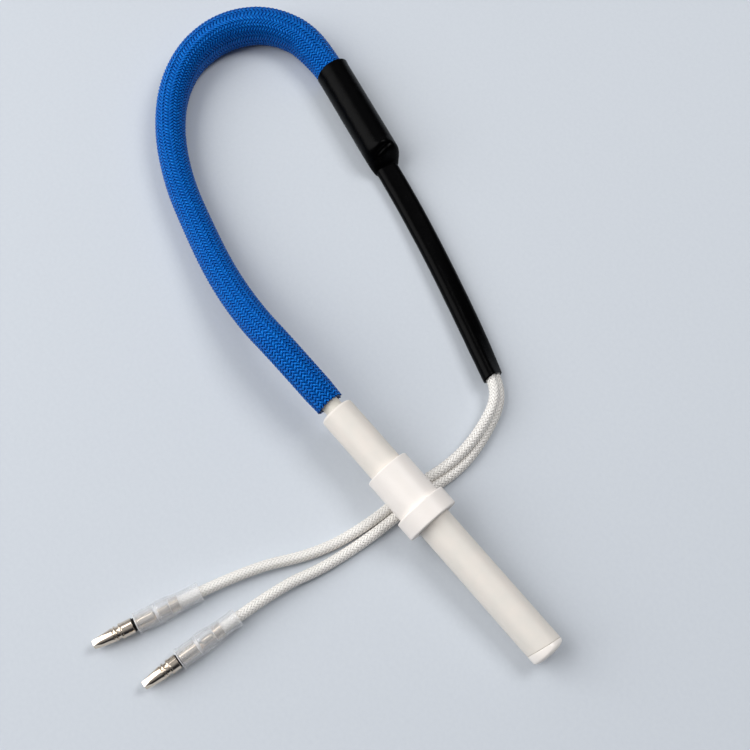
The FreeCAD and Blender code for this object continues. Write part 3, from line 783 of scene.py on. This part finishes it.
def shrink_point(distance, angle):
    """Point on the end shrink, so many mm in from its mouth. Angle 0 faces the loop."""
    outside = 0.5 - 0.5 * math.cos(angle)
    share = distance - shoulder_start - shoulder_delay * outside
    share /= shoulder_run - shoulder_haste * outside
    share = min(max(share, 0.0), 1.0) ** 1.5
    drop = share * share * (3 - 2 * share)
    half_width = shrink_body_r + (neck_half_width - shrink_body_r) * drop
    half_height = shrink_body_r + (neck_half_height - shrink_body_r) * drop
    settle = max(0.0, (distance - neck_start) / neck_run)
    turned_in = max(0.0, distance - turned_in_start)
    half_width -= 0.38 * settle + 0.9 * turned_in
    half_height -= 0.26 * settle + 0.7 * turned_in
    mouth = 0.10 * max(0.0, 1 - distance / 2.5) ** 2
    across = math.copysign(abs(math.cos(angle)) ** (1 - 0.22 * drop), math.cos(angle))
    above = math.sin(angle)
    lateral = half_width * across + neck_aside * drop
    # The shoulder puckers on top: a swell, a pinch behind it, and a knuckle on the neck.
    slanted = distance - 0.20 * lateral
    swell = math.exp(-((slanted - 32.0) / 1.0) ** 2)
    pucker = math.exp(-((slanted - 33.3) / 0.34) ** 2)
    knuckle = math.exp(-((slanted - 34.5) / 0.7) ** 2) * math.exp(-(lateral / 1.9) ** 2)
    fold = max(0.0, above) ** 1.5 * math.exp(-(lateral / 2.9) ** 4)
    lift = (0.34 * swell - 0.60 * pucker + 0.46 * knuckle) * fold
    ripple = 0.035 * math.sin(distance * 1.1 + 3 * angle) * (1 - drop)
    spot = in_shrink(distance + 0.5 * (1 - distance / shrink_length) * math.cos(angle), 0)
    return (spot + shrink_right * (lateral + mouth * across) * MM
            + UP * (shrink_off_table + half_height
                    + (half_height + mouth + lift + ripple) * above) * MM)


def open_tube(name, rings, wall, finish, replaced):
    """A thin tube through rings of points, walled inwards, riding on the igniter."""
    shape = bmesh.new()
    tube_skin(shape, rings)
    piece = finished(name, shape, finish, "igniter", replaced, None, 60.0)
    film = piece.modifiers.new("film", "SOLIDIFY")
    film.thickness = wall
    film.offset = -1
    film.use_even_offset = True
    return piece


def shrink_film(name):
    """Cross-linked black film: satin, with faint drawn-down wrinkles and dust."""
    finish, tree, shader = new_finish(name, Specular_IOR_Level=0.045)
    place = wired(tree, "ShaderNodeTexCoord").outputs["Object"]
    wrinkles = wired(tree, "ShaderNodeTexNoise", {
        "Vector": place, "Scale": 420.0, "Detail": 3.0, "Roughness": 0.5})
    dust = wired(tree, "ShaderNodeTexNoise", {
        "Vector": place, "Scale": 5000.0, "Detail": 2.0, "Roughness": 0.7})
    dusty = wired(tree, "ShaderNodeMapRange", {
        "Value": dust.outputs["Fac"], "From Min": 0.62, "From Max": 0.80})
    colour = wired(tree, "ShaderNodeMix", {
        "Factor": dusty.outputs["Result"], "A": (0.0003, 0.0003, 0.0004, 1),
        "B": (0.0015, 0.0015, 0.0017, 1)}, data_type="RGBA")
    tree.links.new(colour.outputs["Result"], shader.inputs["Base Color"])
    rough = wired(tree, "ShaderNodeMapRange", {
        "Value": wrinkles.outputs["Fac"], "To Min": 0.20, "To Max": 0.32})
    tree.links.new(rough.outputs["Result"], shader.inputs["Roughness"])
    both = wired(tree, "ShaderNodeMath", {
        0: wrinkles.outputs["Fac"], 1: dust.outputs["Fac"]})
    bump = wired(tree, "ShaderNodeBump", {
        "Height": both.outputs["Value"], "Strength": 0.25, "Distance": 0.0001})
    tree.links.new(bump.outputs["Normal"], shader.inputs["Normal"])
    return finish


film_black = shrink_film("black_shrink_film")
shrink_right = shrink_heading.cross(UP)
film_angles = [math.tau * k / 72 for k in range(72)]
shrink_steps = 150
shrink_rings = [
    [shrink_point(shrink_length * k / shrink_steps, angle) for angle in film_angles]
    for k in range(shrink_steps + 1)
]
end_shrink = open_tube("end_shrink_film", shrink_rings, 0.35 * MM, film_black,
                       ["sleeve_end_shrink"])

# Pair shrink: a second black tube, drawn down on both leads. It follows them as
# lead a climbs on lead b, with a groove between that deepens to the open end.
pair_film_start = 32.7
pair_film_wall = 0.36
pair_slack = 0.26               # over the leads, and twice as much at the open end
pair_half_width = 3.3
pair_off_table = 0.03
mouth_slant = 0.9               # by which the cut end leads on one side
slanted_share = 0.08            # of the film's length
pair_route = [
    in_shrink(pair_film_start, 2.65),
    in_shrink(47.7, 2.15),
    Vector((-52.0, 53.8, 2.05)) * MM,
    Vector((-30.7, 46.55, 2.05)) * MM,
    Vector((-14.7, 40.5, 2.05)) * MM,
]
pair_lay = Lay("pair_line", pair_route)


def pair_ring(distance):
    """Ring of points round both leads, so far along the film: two lobes and a groove.

    It is flat where it lies on the table, and its cut end is slanted."""
    spot, side, top = pair_lay.at(distance)
    centres = []
    for name in "ba":
        near = min(terminals[name]["lay"].spots, key=lambda other: (other - spot).length_squared)
        centres.append(Vector(((near - spot).dot(side), (near - spot).dot(top))))
    middle = (centres[0] + centres[1]) / 2
    reach = (centres[1] - centres[0]).length / 2
    along = (centres[1] - centres[0]).normalized()
    square = Vector((-along.y, along.x))
    share = distance / pair_lay.length
    room = (lead_r + pair_film_wall + pair_slack + pair_slack * share) * MM
    groove = (0.02 + 0.06 * share ** 2) * MM
    middle.x += neck_aside * (1 - share) ** 4 * MM
    cut = mouth_slant * max(0.0, 1 - (1 - share) / slanted_share) ** 2
    ahead = top.cross(side)
    ring = []
    for angle in film_angles:
        out = math.cos(angle)
        lobe = reach * out / math.sqrt(out ** 2 + 0.08) + room * out
        swell = room + 0.02 * MM * math.sin(distance / MM * 0.8 + 2 * angle)
        flank = (swell - groove * math.exp(-(out / 0.30) ** 2)) * math.sin(angle)
        place = middle + along * lobe + square * flank
        corner = spot + side * place.x + top * place.y
        corner += ahead * cut * place.x / pair_half_width
        corner.z = max(corner.z, pair_off_table * MM)
        ring.append(corner)
    return ring


pair_steps = 180
pair_rings = [pair_ring(pair_lay.length * k / pair_steps) for k in range(pair_steps + 1)]
pair_shrink = open_tube("pair_shrink_film", pair_rings, pair_film_wall * MM, film_black,
                        ["lead_pair_shrink"])

# Terminals: bullets rolled from bright nickel-plated brass sheet. The nose is
# pinched to flats, a groove between two rings runs round the waist, and the tail
# is crimped on the bare wire and again on the braid.
bright_nickel = wire_metal("bright_nickel", (0.82, 0.72, 0.60), (0.58, 0.49, 0.39), 0.13,
                           1200.0)
# Near-black metal for the neck band: painted shade in the step in front of the cover.
painted_neck_shade = wire_metal("painted_shade_neck_metal", (0.030, 0.027, 0.025), (0.012, 0.011, 0.011), 0.5,
                     1200.0)
neck_width = 0.8
waist_r = 1.62
tail_r = 1.6
bore_r = 1.2
bore_front = 9.5
shell_rear = 16.5
crimps_front = 16.35            # where the crimps start, just inside the shell
nose_roll = -20
nose_slope = math.radians(14)
nose_half_width = 0.78
bullets = {}
for name, terminal in terminals.items():
    at_terminal = (Matrix.Translation(terminal["tip"])
                   @ Matrix.Rotation(math.radians(terminal["heading"]), 4, "Z"))
    terminal["place"] = at_terminal
    neck_front = terminal["neck"]
    neck_rear = neck_front + neck_width
    shape = turned([
        (0, 0, 0),
        (0, 1.15, 0.2),
        (5.5, 1.84, 0.1),
        (5.75, waist_r, 0.05),
        (5.95, waist_r, 0.05),
        (6.0, 1.95, 0.14),
        (6.45, 1.95, 0.14),
        (6.5, waist_r, 0.05),
        (7.3, waist_r, 0.05),
        (7.4, 2.08, 0.18),
        (7.95, 2.08, 0.18),
        (8.0, 1.96, 0.04),
        (neck_front, 1.98, 0.06),
        (neck_front + 0.1, 1.7, 0.05),
        (neck_rear, 1.7, 0.05),
        (neck_rear, tail_r, 0.05),
        (shell_rear, tail_r, 0.1),
        (shell_rear, bore_r, 0),
        (bore_front, bore_r, 0),
        (bore_front, 0, 0),
    ], 64)
    for quarter in range(4):
        turn = Matrix.Rotation(math.radians(90 * quarter + nose_roll), 4, "X")
        spot = turn @ Vector((0, 0, nose_half_width * MM))
        facing = turn @ Vector((-math.sin(nose_slope), 0, math.cos(nose_slope)))
        cut = bmesh.ops.bisect_plane(
            shape, geom=shape.verts[:] + shape.edges[:] + shape.faces[:],
            dist=0.0001 * MM, plane_co=spot, plane_no=facing, clear_outer=True)
        rim = [e for e in cut["geom_cut"] if isinstance(e, bmesh.types.BMEdge)]
        bmesh.ops.edgeloop_fill(shape, edges=rim)
    # The crimps come from the CAD bullet, cut off inside the shell's end.
    shell = bpy.data.meshes.new("bullet_shell")
    shape.to_mesh(shell)
    shape.clear()
    shape.from_mesh(frame["nodes"]["bullet_pin_" + name].data)
    bmesh.ops.transform(shape, matrix=at_terminal.inverted(), verts=shape.verts[:])
    bmesh.ops.remove_doubles(shape, verts=shape.verts[:], dist=0.002 * MM)
    bmesh.ops.bisect_plane(
        shape, geom=shape.verts[:] + shape.edges[:] + shape.faces[:],
        dist=0.0001 * MM, plane_co=(crimps_front * MM, 0, 0), plane_no=(1, 0, 0),
        clear_inner=True)
    shape.from_mesh(shell)
    bpy.data.meshes.remove(shell)
    bullets[name] = finished("bullet_" + name, shape, bright_nickel, "igniter",
                             ["bullet_pin_" + name], at_terminal, 30.0)
    even_faces(bullets[name])
    # The neck band takes the near-black metal, painted shade just before the cover's mouth.
    mesh = bullets[name].data
    mesh.materials.append(painted_neck_shade)
    for face in mesh.polygons:
        station = (at_terminal.inverted() @ face.center).x / MM
        face.material_index = int(neck_front < station < neck_rear)

# Covers: clear soft vinyl sleeves, moulded with a lip at the mouth, a ring inside where the
# bulge starts, and a narrower neck that flares at its end. They slide back along the leads. At
# the ring and at both rims the vinyl is made whiter and less clear, a painted highlight for the
# bright lines there.


def vinyl(name, alpha, clearness):
    """Soft clear vinyl, a little hazy, that shows what is inside it."""
    finish, tree, shader = new_finish(name, Roughness=0.03, IOR=1.45, Alpha=alpha,
                                      Transmission_Weight=clearness,
                                      Specular_IOR_Level=0.8)
    place = wired(tree, "ShaderNodeTexCoord").outputs["Object"]
    haze = wired(tree, "ShaderNodeTexNoise", {
        "Vector": place, "Scale": 600.0, "Detail": 3.0})
    milky = wired(tree, "ShaderNodeMix", {
        "Factor": haze.outputs["Fac"], "A": (0.95, 0.96, 0.97, 1),
        "B": (0.99, 0.99, 1.0, 1)}, data_type="RGBA")
    tree.links.new(milky.outputs["Result"], shader.inputs["Base Color"])
    return finish


clear_vinyl = vinyl("clear_vinyl", 0.34, 0.50)
# Whiter, less clear vinyl for the ring and the rims: a painted highlight.
painted_rim_highlight = vinyl("painted_rim_highlight", 0.70, 0.15)
cover_length = 17.6
mouth_bore_r = 2.2
bulge_bore_r = 2.5
ring_bore_r = 1.75
ring_front = 5.3
ring_rear = 6.1
rim_depth = 0.15
covers = {}
for name, terminal in terminals.items():
    moved = terminal["place"] @ Matrix.Translation((terminal["cover"] * MM, 0, 0))
    shape = turned([
        (0, mouth_bore_r, 0.1),
        (0, 2.95, 0.15),
        (0.75, 2.95, 0.15),
        (0.95, 2.75, 0.1),
        (5.7, 2.83, 0.2),
        (6.2, 3.0, 0.3),
        (8.0, 3.0, 1.0),
        (12.0, 2.45, 1.0),
        (16.0, 2.5, 0.4),
        (17.0, 2.66, 0.3),
        (cover_length, 2.66, 0.15),
        (cover_length, 2.15, 0.1),
        (12.0, 2.05, 1.0),
        (8.0, bulge_bore_r, 1.0),
        (6.2, bulge_bore_r, 0.1),
        (6.0, ring_bore_r, 0.1),
        (5.4, ring_bore_r, 0.1),
        (ring_front, mouth_bore_r, 0.1),
    ], 72)
    covers[name] = finished("clear_cover_" + name, shape, clear_vinyl, "cover_" + name,
                            ["terminal_cover_" + name], moved, 60.0)
    mesh = covers[name].data
    mesh.materials.append(painted_rim_highlight)
    for face in mesh.polygons:
        station, *aside = (moved.inverted() @ face.center) / MM
        on_ring = ring_front < station < ring_rear and math.hypot(*aside) < mouth_bore_r
        on_rim = station < rim_depth or station > cover_length - 0.1
        face.material_index = int(on_ring or on_rim)
